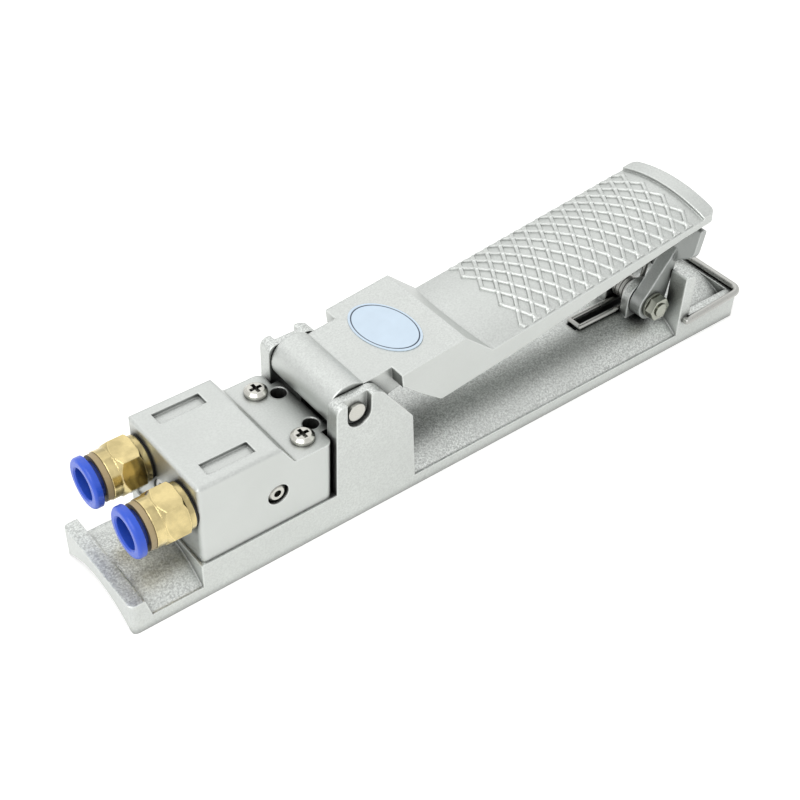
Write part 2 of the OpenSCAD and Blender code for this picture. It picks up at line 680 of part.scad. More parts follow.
module hinge_pin() color("LightGray") {
    seat = half_w - recess_depth;
    rod_y([pin_x, -seat - eps, pin_z], pin_d / 2, 2 * seat + 2 * eps);
    both_sides() rod_y([pin_x, seat, pin_z], pin_head_d / 2, pin_head_t);
}

// Top of the hub and the slanted face down to the treadle, drawn in u and v.
module hub_strip() polygon([[0, hub_top], [hub_u, hub_top], [treadle_u, treadle_v], [treadle_u, under_v],
    [treadle_u - 1.4, under_v], [hub_u - 1.8, hub_top - hub_t], [0, hub_top - hub_t]]);

// Side skirt; along the treadle its top stays just inside the arched plate.
module skirt_outline() polygon(rounded([[shoulder_u, hub_top, 0], [hub_u, hub_top, 0], [treadle_u, treadle_v, 0],
    [treadle_u + 0.5, treadle_v - 0.5, 0], [tip_u - 5, treadle_v - 0.5, 0], [tip_u - 7, under_v + 0.5, 0],
    [treadle_u + skirt_past, skirt_v + 0.5, 0], [shoulder_u + skirt_low, skirt_v, 2],
    [shoulder_u + skirt_low / 2, skirt_v + skirt_low / 2, 6],
    [shoulder_u + 0.6, hub_top - 5, 2]]));

// Plan of the pedal from station u0 to its tip, with rounded tip corners.
module tip_plan(u0) polygon(rounded([[u0, -pedal_half, 0], [tip_u, -pedal_half, tip_corner_r],
    [tip_u, pedal_half, tip_corner_r], [u0, pedal_half, 0]]));

// Arched plate over that plan, between two heights above the treadle's underside.
module arched_plate(u0, low, high) intersection() {
    translate([0, 0, under_v - 1]) linear_extrude(treadle_camber + treadle_t + ridge_h + 3) tip_plan(u0);
    translate([u0 - 1, 0, camber_v]) rotate([0, 90, 0]) difference() {
        cylinder(r = camber_r + high, h = tip_u - u0 + 2, $fn = 256);
        translate([0, 0, -eps]) cylinder(r = camber_r + low, h = tip_u - u0 + 2 + 2 * eps, $fn = 256);
    }
}

module pedal() color("Gainsboro") difference() {
    union() {
        rod_y([pin_x, -neck_half, pin_z], roll_r, 2 * neck_half);
        pedal_frame() {
            intersection() {
                across(-pedal_half, pedal_half) hub_strip();
                union() {
                    translate([0, -neck_web, -roll_r]) cube([treadle_u + 5, 2 * neck_web, 2 * roll_r]);
                    translate([shoulder_u, -pedal_half, -2 * roll_r]) cube([treadle_u, pedal_w, 4 * roll_r]);
                }
            }
            both_sides() across(pedal_half - skirt_t, pedal_half) skirt_outline();
            both_sides() across(neck_web - skirt_t, neck_web) polygon([[0, hub_top], [shoulder_u + 3, hub_top],
                [shoulder_u + 3, -hub_top], [4, 1 - roll_r], [0, 1 - roll_r]]);
            translate([shoulder_u, -pedal_half, hub_top - 5]) cube([hub_t, pedal_w, 5]);
            arched_plate(treadle_u - 4, -treadle_t, 0);
            arched_plate(tip_u - ridge_len, -treadle_t / 2, ridge_h);
        }
        translate([pin_x - toe_r + 1, -toe_w / 2, spool_z]) cube([2 * toe_r, toe_w, pin_z - spool_z]);
        rod_y([pin_x + 1, -toe_w / 2, spool_z], toe_r, toe_w);
    }
    rod_y([pin_x, -neck_half - eps, pin_z], pin_d / 2 + run_fit, 2 * neck_half + 2 * eps);
}

module pedal_label() color("LightCyan") pedal_frame() translate([label_u, label_shift, hub_top])
    rotate([0, 0, label_turn]) linear_extrude(label_t) polygon([for (a = [0:6:354]) [label_w / 2 * cos(a), label_len / 2 * sin(a)]]);

// Flap plate with rounded lower corners, carried on two arms; drawn in its own frame.
module flap_plate() intersection() {
    across(-flap_half, flap_half) polygon(rounded([[flap_offset, flap_low, 1], [flap_offset + flap_t, flap_low, 1],
        [flap_offset + flap_t, flap_w, 1], [flap_offset, flap_w, 1]]));
    along(flap_offset - 1, flap_offset + flap_t + 1) polygon(rounded([[-arm_out + 1.6, flap_low, 3],
        [arm_out - 1.6, flap_low, 3], [arm_out - 0.4, flap_lip_r, 2], [flap_half, flap_lip_r + flap_slant, 4],
        [flap_half, flap_w, 0], [-flap_half, flap_w, 0], [-flap_half, flap_lip_r + flap_slant, 4],
        [-arm_out + 0.4, flap_lip_r, 2]]));
}

module arm_outline() {
    circle(r = eye_r);
    polygon([[-eye_r, 0], [-eye_r + 0.2, 1.4], [flap_offset + 0.2, flap_lip_r + 5.8],
        [flap_offset + flap_t - 0.3, flap_lip_r + 5.8], [flap_offset + flap_t - 1, flap_lip_r - 1], [eye_r, 0]]);
}

module flap() color("DarkGray") difference() {
    flap_frame() {
        flap_plate();
        both_sides() across(arm_in, arm_out) arm_outline();
    }
    rod_y([flap_x, -arm_out - eps, flap_z], bolt_r + run_fit, 2 * arm_out + 2 * eps);
}

bolt_seat = arm_out + 0.1 + washer_t;
module flap_bolt() color("LightGray") translate([flap_x, 0, flap_z]) {
    rod_y([0, -bolt_seat - nut_h - 0.6, 0], bolt_r, 2 * bolt_seat + nut_h + 0.6);
    translate([0, bolt_seat, 0]) rotate([-90, 0, 0]) cylinder(d = nut_af / cos(30), h = 3.4, $fn = 6);
}

module flap_nut() color("LightGray") translate([flap_x, -bolt_seat, flap_z]) rotate([90, 0, 0]) difference() {
    cylinder(d = nut_af / cos(30), h = nut_h, $fn = 6);
    translate([0, 0, -eps]) cylinder(r = bolt_r + seat_fit, h = nut_h + 2 * eps);
}

module flap_washers() color("DimGray") both_sides() translate([flap_x, arm_out + 0.1, flap_z]) rotate([-90, 0, 0])
    difference() {
        cylinder(d = washer_d, h = washer_t);
        translate([0, 0, -eps]) cylinder(r = bolt_r + seat_fit, h = washer_t + 2 * eps);
    }

// Double torsion spring: close coils around the bolt, a hairpin leg on the floor, two short upper legs.
module flap_spring() color("Silver") {
    wire_r = torsion_wire_d / 2;
    lean_len = 0.45 * flap_w;
    translate([flap_x, 0, flap_z]) for (i = [0:coil_turns - 1]) translate([0, -leg_y + i * coil_pitch, 0])
        rotate([90, 0, 0]) rotate_extrude() translate([coil_r, 0]) circle(r = wire_r, $fn = 24);
    for (y = [-leg_y, leg_y]) {
        translate([flap_x - leg_len, y, leg_z]) rotate([0, 90, 0]) cylinder(r = wire_r, h = leg_len, $fn = 24);
        translate([flap_x, y, leg_z]) cylinder(r = wire_r, h = flap_z - coil_r - leg_z + wire_r, $fn = 24);
        translate([flap_x, y, leg_z]) sphere(r = wire_r, $fn = 24);
        flap_frame() translate([coil_r - 0.3, y, 0]) cylinder(r = wire_r, h = lean_len, $fn = 24);
    }
    rod_y([flap_x - leg_len, -leg_y, leg_z], wire_r, 2 * leg_y);
    for (y = [-leg_y, leg_y]) translate([flap_x - leg_len, y, leg_z]) sphere(r = wire_r, $fn = 24);
}

// Wire bail: two inward pivots, two arms outside the walls and a cross bar on the end wall.
module bail() color("LightGray") {
    rise = bar_z - bail_z;
    run = bar_x - bail_x;
    arm_angle = atan2(rise, run);
    arm_len = norm([run, rise]);
    translate([bail_x, 0, bail_z]) rotate([0, -arm_angle, 0]) {
        both_sides() {
            rod_y([0, half_w - 3.6, 0], bail_r, bail_arm_y - half_w + 3.6);
            translate([0, bail_arm_y, 0]) sphere(r = bail_r);
            rod_x([0, bail_arm_y, 0], bail_r, arm_len - bail_bend);
            translate([arm_len - bail_bend, bail_arm_y - bail_bend, 0])
                rotate_extrude(angle = 90) translate([bail_bend, 0]) circle(r = bail_r);
        }
        rod_y([arm_len, -bail_arm_y + bail_bend, 0], bail_r, 2 * (bail_arm_y - bail_bend));
    }
}

module placed() translate([-base_len / 2, 0, 0]) children();

placed() base();
placed() valve_body();
placed() body_screws();
placed() fitting_bodies();
placed() port_seals();
placed() fitting_sleeves();
placed() grab_rings();
placed() tube_seals();
placed() release_ring_near();
placed() release_ring_far();
placed() side_plug();
placed() spool();
placed() spool_seals();
placed() spool_spring();
placed() end_plug();
placed() plug_seal();
placed() plug_clip();
placed() stem_wiper();
placed() hinge_pin();
placed() pedal();
placed() pedal_label();
placed() flap();
placed() flap_bolt();
placed() flap_nut();
placed() flap_washers();
placed() flap_spring();
placed() bail();
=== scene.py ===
"""Looks of a foot pedal air valve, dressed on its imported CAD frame. Lengths are in metres."""

import json
import math

import bpy
from mathutils import Matrix, Vector


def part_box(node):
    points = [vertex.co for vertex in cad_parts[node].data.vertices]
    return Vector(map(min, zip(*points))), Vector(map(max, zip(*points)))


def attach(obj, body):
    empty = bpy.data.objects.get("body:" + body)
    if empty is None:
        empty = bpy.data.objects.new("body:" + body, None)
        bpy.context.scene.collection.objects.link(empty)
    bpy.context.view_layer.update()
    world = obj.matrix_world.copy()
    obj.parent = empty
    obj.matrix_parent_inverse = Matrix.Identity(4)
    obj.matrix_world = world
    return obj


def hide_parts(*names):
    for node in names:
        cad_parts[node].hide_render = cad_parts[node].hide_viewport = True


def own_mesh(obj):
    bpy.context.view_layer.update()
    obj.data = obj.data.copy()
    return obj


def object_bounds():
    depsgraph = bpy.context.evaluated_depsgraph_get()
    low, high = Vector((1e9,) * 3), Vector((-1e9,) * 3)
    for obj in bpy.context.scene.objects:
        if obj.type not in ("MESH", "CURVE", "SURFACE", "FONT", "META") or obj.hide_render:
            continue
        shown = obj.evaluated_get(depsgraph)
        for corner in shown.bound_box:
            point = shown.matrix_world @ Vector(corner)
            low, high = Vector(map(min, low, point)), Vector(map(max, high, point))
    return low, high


bl_info = {
    "name": "Foot Pedal Air Valve",
    "version": (1, 0, 0),
    "blender": (4, 5, 0),
    "location": "View3D > Sidebar > Pedal Valve",
    "description": "Dresses the CAD frame of a foot pedal air valve with its finishes and lattice",
    "category": "Object",
}

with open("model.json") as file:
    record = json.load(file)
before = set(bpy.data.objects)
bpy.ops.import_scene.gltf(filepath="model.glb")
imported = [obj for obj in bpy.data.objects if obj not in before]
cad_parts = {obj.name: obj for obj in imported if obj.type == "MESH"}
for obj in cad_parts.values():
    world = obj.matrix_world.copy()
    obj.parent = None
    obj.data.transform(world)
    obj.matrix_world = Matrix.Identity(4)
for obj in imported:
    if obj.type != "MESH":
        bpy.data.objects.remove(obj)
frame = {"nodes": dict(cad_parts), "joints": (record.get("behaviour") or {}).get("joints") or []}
NODES = frame["nodes"]
JOINTS = {joint["name"]: joint for joint in frame["joints"]}
CAD_LOW, CAD_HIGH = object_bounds()
PEDAL_LOW, PEDAL_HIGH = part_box("pedal")
MM = 0.001

# At rest the treadle rises from the hinge pin at this tilt.
HINGE_PIN = Vector(JOINTS["pedal_hinge"]["pos_m"])
PEDAL_TILT = math.radians(6.7)

# The lattice ribs are sunk this deep in the treadle plate.
RIB_ROOT = 0.3 * MM

# Points on each turn of the spool coil, and round its wire.
COIL_POINTS = 24
WIRE_POINTS = 10

# The camera that was fitted to the photograph: its place, its right and up, its lens and sensor in mm.
CAMERA_PLACE = Vector((-0.232509, -0.263232, 0.322412))
CAMERA_RIGHT = Vector((0.787685, -0.615339, 0.030162))
CAMERA_UP = Vector((0.392556, 0.539033, 0.745214))
CAMERA_LENS = 63.535
CAMERA_SENSOR = 36.0
CAMERA_CLIP = 0.01

# Each lamp's name, the property that holds its power, its width and depth, and where it hangs.
LAMPS = (
    ("key", "key_power", 0.8, 0.8, Vector((-0.6, -0.22, 0.75))),
    ("back", "back_power", 1.5, 0.8, Vector((0.12, 0.62, 0.75))),
)
LAMP_AIM = Vector((0.0, 0.0, 0.02))

# Half the side of the floor, and how far it lies below the base.
FLOOR_REACH = 1.0
FLOOR_GAP = 0.05 * MM

# Sockets known by their place, because their names occur twice: those of a colour Mix and of a Map Range.
FACTOR, FIRST, SECOND = 0, 6, 7
MIXED = 2
FROM_LOW, FROM_HIGH, TO_LOW, TO_HIGH = 1, 2, 3, 4

# A wave texture at scale 1 repeats after this length.
WAVE_PERIOD = math.pi / 10


def srgb(hex_colour):
    """Linear red, green and blue of an sRGB hex colour."""
    steps = [int(hex_colour[i : i + 2], 16) / 255 for i in (0, 2, 4)]
    return tuple(s / 12.92 if s <= 0.04045 else ((s + 0.055) / 1.055) ** 2.4 for s in steps)


def shade(colour, factor):
    """A linear colour made darker or lighter, with full alpha."""
    return tuple(min(1.0, c * factor) for c in colour[:3]) + (1.0,)


def add(tree, kind, links=None, **settings):
    """Adds a node, sets its settings, and links or fills the inputs that are named."""
    node = tree.nodes.new(kind)
    for key, value in settings.items():
        setattr(node, key, value)
    for key, value in (links or {}).items():
        socket = node.inputs[key]
        if isinstance(value, bpy.types.NodeSocket):
            tree.links.new(value, socket)
        else:
            socket.default_value = value
    return node


def new_finish(name):
    """An empty node material, with the Object coordinates that its patterns read."""
    material = bpy.data.materials.new(name)
    material.use_nodes = True
    tree = material.node_tree
    tree.nodes.clear()
    return material, tree, add(tree, "ShaderNodeTexCoord").outputs["Object"]


def dress(node_names, material):
    """Gives CAD nodes whose shape is right a better material."""
    for name in node_names:
        for slot in NODES[name].material_slots:
            slot.material = material


def wear_and_highlight_edges(tree, colour, bright, rounded, sharpest):
    """Brightens a colour along the edges, where the rounded normal leaves the normal of the face: partly
    wear, partly a painted highlight.
    """
    flat = add(tree, "ShaderNodeNewGeometry")
    same = add(tree, "ShaderNodeVectorMath", {0: rounded, 1: flat.outputs["Normal"]}, operation="DOT_PRODUCT")
    rubbed_and_lit = add(tree, "ShaderNodeMapRange", {
        "Value": same.outputs["Value"], FROM_LOW: 0.995, FROM_HIGH: sharpest, TO_LOW: 0.0, TO_HIGH: 0.8,
    })
    worn_and_highlit = add(tree, "ShaderNodeMix", {
        FACTOR: rubbed_and_lit.outputs[0], FIRST: colour, SECOND: bright,
    }, data_type="RGBA")
    return worn_and_highlit.outputs[MIXED]


def paint_hollow_shade(tree, colour, reach, closed, clear, least):
    """Paints shade into a colour where other surfaces within reach hem it in, down to the least share of it.
    """
    open_sky = add(tree, "ShaderNodeAmbientOcclusion", {"Distance": reach}, samples=8)
    share = add(tree, "ShaderNodeMapRange", {
        "Value": open_sky.outputs["AO"], FROM_LOW: closed, FROM_HIGH: clear, TO_LOW: least, TO_HIGH: 1.0,
    })
    with_painted_shade = add(tree, "ShaderNodeMix", {
        FACTOR: 1.0, FIRST: colour, SECOND: share.outputs[0],
    }, data_type="RGBA", blend_type="MULTIPLY")
    return with_painted_shade.outputs[MIXED]


def cast_alloy(name, colour, roughness, grit, speckle, relief, edge):
    """Die-cast aluminium, shot blasted: a matte pale grey with fine grit, edges brightened by wear and a
    painted highlight, and painted shade in hollows and under covering parts.
    """
    material, tree, place = new_finish(name)
    # Grit of the blasting is about 0.3 mm; it is drawn coarser so that it shows.
    grain = add(tree, "ShaderNodeTexNoise", {
        "Vector": place, "Scale": 1 / grit, "Detail": 3.0, "Roughness": 0.65,
    })
    specks = add(tree, "ShaderNodeMapRange", {
        "Value": grain.outputs["Fac"], FROM_LOW: 0.36, FROM_HIGH: 0.64, TO_LOW: 0.0, TO_HIGH: 1.0,
    })
    tone = add(tree, "ShaderNodeMix", {
        FACTOR: specks.outputs[0], FIRST: shade(colour, 0.62), SECOND: shade(colour, 1.42),
    }, data_type="RGBA")
    # Upright faces are linished, so the grit shows mostly on the faces that look up.
    flat = add(tree, "ShaderNodeNewGeometry")
    aim = add(tree, "ShaderNodeSeparateXYZ", {0: flat.outputs["Normal"]})
    rough_cast = add(tree, "ShaderNodeMapRange", {
        "Value": aim.outputs["Z"], FROM_LOW: 0.1, FROM_HIGH: 0.7, TO_LOW: speckle * 0.3, TO_HIGH: speckle,
    })
    gritty = add(tree, "ShaderNodeMix", {
        FACTOR: rough_cast.outputs[0], FIRST: shade(colour, 0.98), SECOND: tone.outputs[MIXED],
    }, data_type="RGBA")
    # Flow marks of the casting are about 2 cm long.
    flow = add(tree, "ShaderNodeTexNoise", {"Vector": place, "Scale": 1 / (18 * MM), "Detail": 2.0})
    clouds = add(tree, "ShaderNodeMapRange", {
        "Value": flow.outputs["Fac"], FROM_LOW: 0.3, FROM_HIGH: 0.7, TO_LOW: 0.0, TO_HIGH: 0.45,
    })
    mottled = add(tree, "ShaderNodeMix", {
        FACTOR: clouds.outputs[0], FIRST: gritty.outputs[MIXED], SECOND: shade(colour, 0.9),
    }, data_type="RGBA")
    rounded = add(tree, "ShaderNodeBevel", {"Radius": edge}, samples=6).outputs[0]
    # Edges are brighter: partly wear, partly a painted highlight.
    worn_and_highlit = wear_and_highlight_edges(tree, mottled.outputs[MIXED], shade(colour, 1.4), rounded, 0.86)
    # Painted shade darkens corners, holes and slits.
    hollow_shaded = paint_hollow_shade(tree, worn_and_highlit, 5 * MM, 0.14, 0.8, 0.03)
    # Painted shadow darkens the faces that other parts cover, as under the treadle.
    with_painted_shade = paint_hollow_shade(tree, hollow_shaded, 50 * MM, 0.08, 0.5, 0.36)
    gloss = add(tree, "ShaderNodeMapRange", {
        "Value": grain.outputs["Fac"], FROM_LOW: 0.3, FROM_HIGH: 0.7,
        TO_LOW: roughness - 0.07, TO_HIGH: roughness + 0.07,
    })
    pits = add(tree, "ShaderNodeBump", {
        "Strength": 0.35, "Distance": relief, "Height": grain.outputs["Fac"], "Normal": rounded,
    })
    skin = add(tree, "ShaderNodeBsdfPrincipled", {
        "Base Color": with_painted_shade, "Metallic": 1.0, "Roughness": gloss.outputs[0], "Normal": pits.outputs[0],
    })
    add(tree, "ShaderNodeOutputMaterial", {"Surface": skin.outputs[0]})
    return material


def turned_metal(name, colour, roughness, pitch, groove, edge):
    """Turned bar metal: bright, with fine tool rings square to its axis and a faint mottling that is partly
    stains and partly painted reflection; edges brightened by wear and a painted highlight, and painted shade
    in its grooves.
    """
    material, tree, place = new_finish(name)
    # Tool rings are about 0.1 mm apart; they are drawn at a much wider pitch so that they show.
    rings = add(tree, "ShaderNodeTexWave", {
        "Vector": place, "Scale": WAVE_PERIOD / pitch, "Distortion": 0.4,
    }, bands_direction="X")
    # Stains from handling and a painted reflection mottle, about 5 mm wide.
    stain_and_reflection = add(tree, "ShaderNodeTexNoise", {"Vector": place, "Scale": 1 / (5 * MM), "Detail": 3.0})
    patch = add(tree, "ShaderNodeMapRange", {"Value": stain_and_reflection.outputs["Fac"], FROM_LOW: 0.36, FROM_HIGH: 0.64})
    tone = add(tree, "ShaderNodeMix", {
        FACTOR: patch.outputs[0], FIRST: shade(colour, 0.78), SECOND: shade(colour, 1.14),
    }, data_type="RGBA")
    rounded = add(tree, "ShaderNodeBevel", {"Radius": edge}, samples=6).outputs[0]
    # Edges are brighter: partly wear, partly a painted highlight.
    worn_and_highlit = wear_and_highlight_edges(tree, tone.outputs[MIXED], shade(colour, 1.5), rounded, 0.88)
    # Painted shade darkens the grooves and the foot of the part.
    with_painted_shade = paint_hollow_shade(tree, worn_and_highlit, 7 * MM, 0.2, 0.85, 0.2)
    gloss = add(tree, "ShaderNodeMapRange", {
        "Value": stain_and_reflection.outputs["Fac"], FROM_LOW: 0.3, FROM_HIGH: 0.7,
        TO_LOW: roughness - 0.06, TO_HIGH: roughness + 0.08,
    })
    relief = add(tree, "ShaderNodeBump", {
        "Strength": 0.35, "Distance": groove, "Height": rings.outputs["Fac"], "Normal": rounded,
    })
    skin = add(tree, "ShaderNodeBsdfPrincipled", {
        "Base Color": with_painted_shade, "Metallic": 1.0, "Roughness": gloss.outputs[0], "Normal": relief.outputs[0],
    })
    add(tree, "ShaderNodeOutputMaterial", {"Surface": skin.outputs[0]})
    return material


def bright_wire(name, colour, roughness, grain_size):
    """Plated or drawn steel: a clear grey shine, a little uneven in tone and gloss, with painted shade in its
    recesses.
    """
    material, tree, place = new_finish(name)
    cloud = add(tree, "ShaderNodeTexNoise", {"Vector": place, "Scale": 1 / grain_size, "Detail": 3.0})
    tone = add(tree, "ShaderNodeMix", {
        FACTOR: cloud.outputs["Fac"], FIRST: shade(colour, 0.88), SECOND: shade(colour, 1.08),
    }, data_type="RGBA")
    # Painted shade darkens the recesses and the foot of the part.
    with_painted_shade = paint_hollow_shade(tree, tone.outputs[MIXED], 1.8 * MM, 0.4, 0.9, 0.16)
    gloss = add(tree, "ShaderNodeMapRange", {
        "Value": cloud.outputs["Fac"], FROM_LOW: 0.3, FROM_HIGH: 0.7,
        TO_LOW: roughness - 0.04, TO_HIGH: roughness + 0.06,
    })
    rounded = add(tree, "ShaderNodeBevel", {"Radius": 0.25 * MM}, samples=4).outputs[0]
    relief = add(tree, "ShaderNodeBump", {
        "Strength": 0.08, "Distance": 0.04 * MM, "Height": cloud.outputs["Fac"], "Normal": rounded,
    })
    skin = add(tree, "ShaderNodeBsdfPrincipled", {
        "Base Color": with_painted_shade, "Metallic": 1.0, "Roughness": gloss.outputs[0], "Normal": relief.outputs[0],
    })
    add(tree, "ShaderNodeOutputMaterial", {"Surface": skin.outputs[0]})
    return material


def moulded(name, colour, roughness, grain_size, grain_depth, coat):
    """Moulded plastic or rubber: an even body colour with a slight cloudiness, a fine moulded skin and
    painted shade in its bores.
    """
    material, tree, place = new_finish(name)
    skin_grain = add(tree, "ShaderNodeTexNoise", {"Vector": place, "Scale": 1 / grain_size, "Detail": 2.0})
    cloud = add(tree, "ShaderNodeTexNoise", {"Vector": place, "Scale": 1 / (6 * MM), "Detail": 1.0})
    tone = add(tree, "ShaderNodeMix", {
        FACTOR: cloud.outputs["Fac"], FIRST: shade(colour, 0.88), SECOND: shade(colour, 1.1),
    }, data_type="RGBA")
    # Painted shade darkens the bores.
    with_painted_shade = paint_hollow_shade(tree, tone.outputs[MIXED], 10 * MM, 0.3, 0.9, 0.3)
    gloss = add(tree, "ShaderNodeMapRange", {
        "Value": skin_grain.outputs["Fac"], FROM_LOW: 0.3, FROM_HIGH: 0.7,
        TO_LOW: roughness - 0.05, TO_HIGH: roughness + 0.08,
    })
    rounded = add(tree, "ShaderNodeBevel", {"Radius": 0.3 * MM}, samples=4).outputs[0]
    relief = add(tree, "ShaderNodeBump", {
        "Strength": 0.3, "Distance": grain_depth, "Height": skin_grain.outputs["Fac"], "Normal": rounded,
    })
    body = add(tree, "ShaderNodeBsdfPrincipled", {
        "Base Color": with_painted_shade, "Roughness": gloss.outputs[0], "IOR": 1.49, "Coat Weight": coat,
        "Normal": relief.outputs[0],
    })
    add(tree, "ShaderNodeOutputMaterial", {"Surface": body.outputs[0]})
    return material


def label_film(look, middle):
    """Printed vinyl label: pale film with one thin printed line just inside its edge, under a soft gloss."""
    material, tree, place = new_finish("label_vinyl_film")
    # Centres the pattern on the oval and makes its edge the unit circle.
    centred = add(tree, "ShaderNodeMapping", {"Vector": place, "Location": -middle}, vector_type="POINT")
    level = add(tree, "ShaderNodeMapping", {
        "Vector": centred.outputs[0], "Rotation": (0, PEDAL_TILT, 0),
    })
    turned = add(tree, "ShaderNodeMapping", {"Vector": level.outputs[0], "Rotation": (0, 0, -look.turn)})
    oval = add(tree, "ShaderNodeMapping", {
        "Vector": turned.outputs[0], "Scale": (2 / look.width, 2 / look.length, 0),
    })
    radius = add(tree, "ShaderNodeVectorMath", {0: oval.outputs[0]}, operation="LENGTH")
    off_line = add(tree, "ShaderNodeMath", {
        0: radius.outputs["Value"], 1: look.line_at,
    }, operation="SUBTRACT")
    distance = add(tree, "ShaderNodeMath", {0: off_line.outputs[0]}, operation="ABSOLUTE")
    line = add(tree, "ShaderNodeMapRange", {
        "Value": distance.outputs[0], FROM_LOW: look.line_width * 0.35, FROM_HIGH: look.line_width * 0.65,
        TO_LOW: 1.0, TO_HIGH: 0.0,
    })
    cloud = add(tree, "ShaderNodeTexNoise", {"Vector": place, "Scale": 1 / (4 * MM), "Detail": 2.0})
    film = add(tree, "ShaderNodeMix", {
        FACTOR: cloud.outputs["Fac"], FIRST: shade(look.paper, 0.94), SECOND: shade(look.paper, 1.06),
    }, data_type="RGBA")
    printed = add(tree, "ShaderNodeMix", {
        FACTOR: line.outputs[0], FIRST: film.outputs[MIXED], SECOND: shade(look.ink, 1.0),
    }, data_type="RGBA")
    gloss = add(tree, "ShaderNodeMapRange", {
        "Value": cloud.outputs["Fac"], FROM_LOW: 0.3, FROM_HIGH: 0.7, TO_LOW: 0.3, TO_HIGH: 0.42,
    })
    relief = add(tree, "ShaderNodeBump", {
        "Strength": 0.1, "Distance": 0.05 * MM, "Height": cloud.outputs["Fac"],
    })
    skin = add(tree, "ShaderNodeBsdfPrincipled", {
        "Base Color": printed.outputs[MIXED], "Roughness": gloss.outputs[0], "IOR": 1.5,
        "Normal": relief.outputs[0],
    })
    add(tree, "ShaderNodeOutputMaterial", {"Surface": skin.outputs[0]})
    return material


def in_sight(tree):
    """One where the camera, a reflection or something clear shows the surface, and nought for its light."""
    ray = add(tree, "ShaderNodeLightPath")
    either = add(tree, "ShaderNodeMath", {
        0: ray.outputs["Is Camera Ray"], 1: ray.outputs["Is Glossy Ray"],
    }, operation="MAXIMUM")
    shown = add(tree, "ShaderNodeMath", {
        0: either.outputs[0], 1: ray.outputs["Is Transmission Ray"],
    }, operation="MAXIMUM")
    return shown.outputs[0]


def new_growth(name, inputs):
    """An empty Geometry Nodes tree with named inputs, their identifiers and their sockets."""
    tree = bpy.data.node_groups.new(name, "GeometryNodeTree")
    identifiers = {}
    for title, kind in inputs.items():
        socket = tree.interface.new_socket(title, in_out="INPUT", socket_type="NodeSocket" + kind)
        identifiers[title] = socket.identifier
    tree.interface.new_socket("Geometry", in_out="OUTPUT", socket_type="NodeSocketGeometry")
    return tree, identifiers, add(tree, "NodeGroupInput").outputs


def end_growth(tree, geometry, material):
    """Makes a tree's geometry plain mesh in its material and hands it out."""
    whole = add(tree, "GeometryNodeRealizeInstances", {"Geometry": geometry})
    done = add(tree, "GeometryNodeSetMaterial", {"Geometry": whole.outputs[0], "Material": material})
    add(tree, "NodeGroupOutput", {"Geometry": done.outputs[0]})


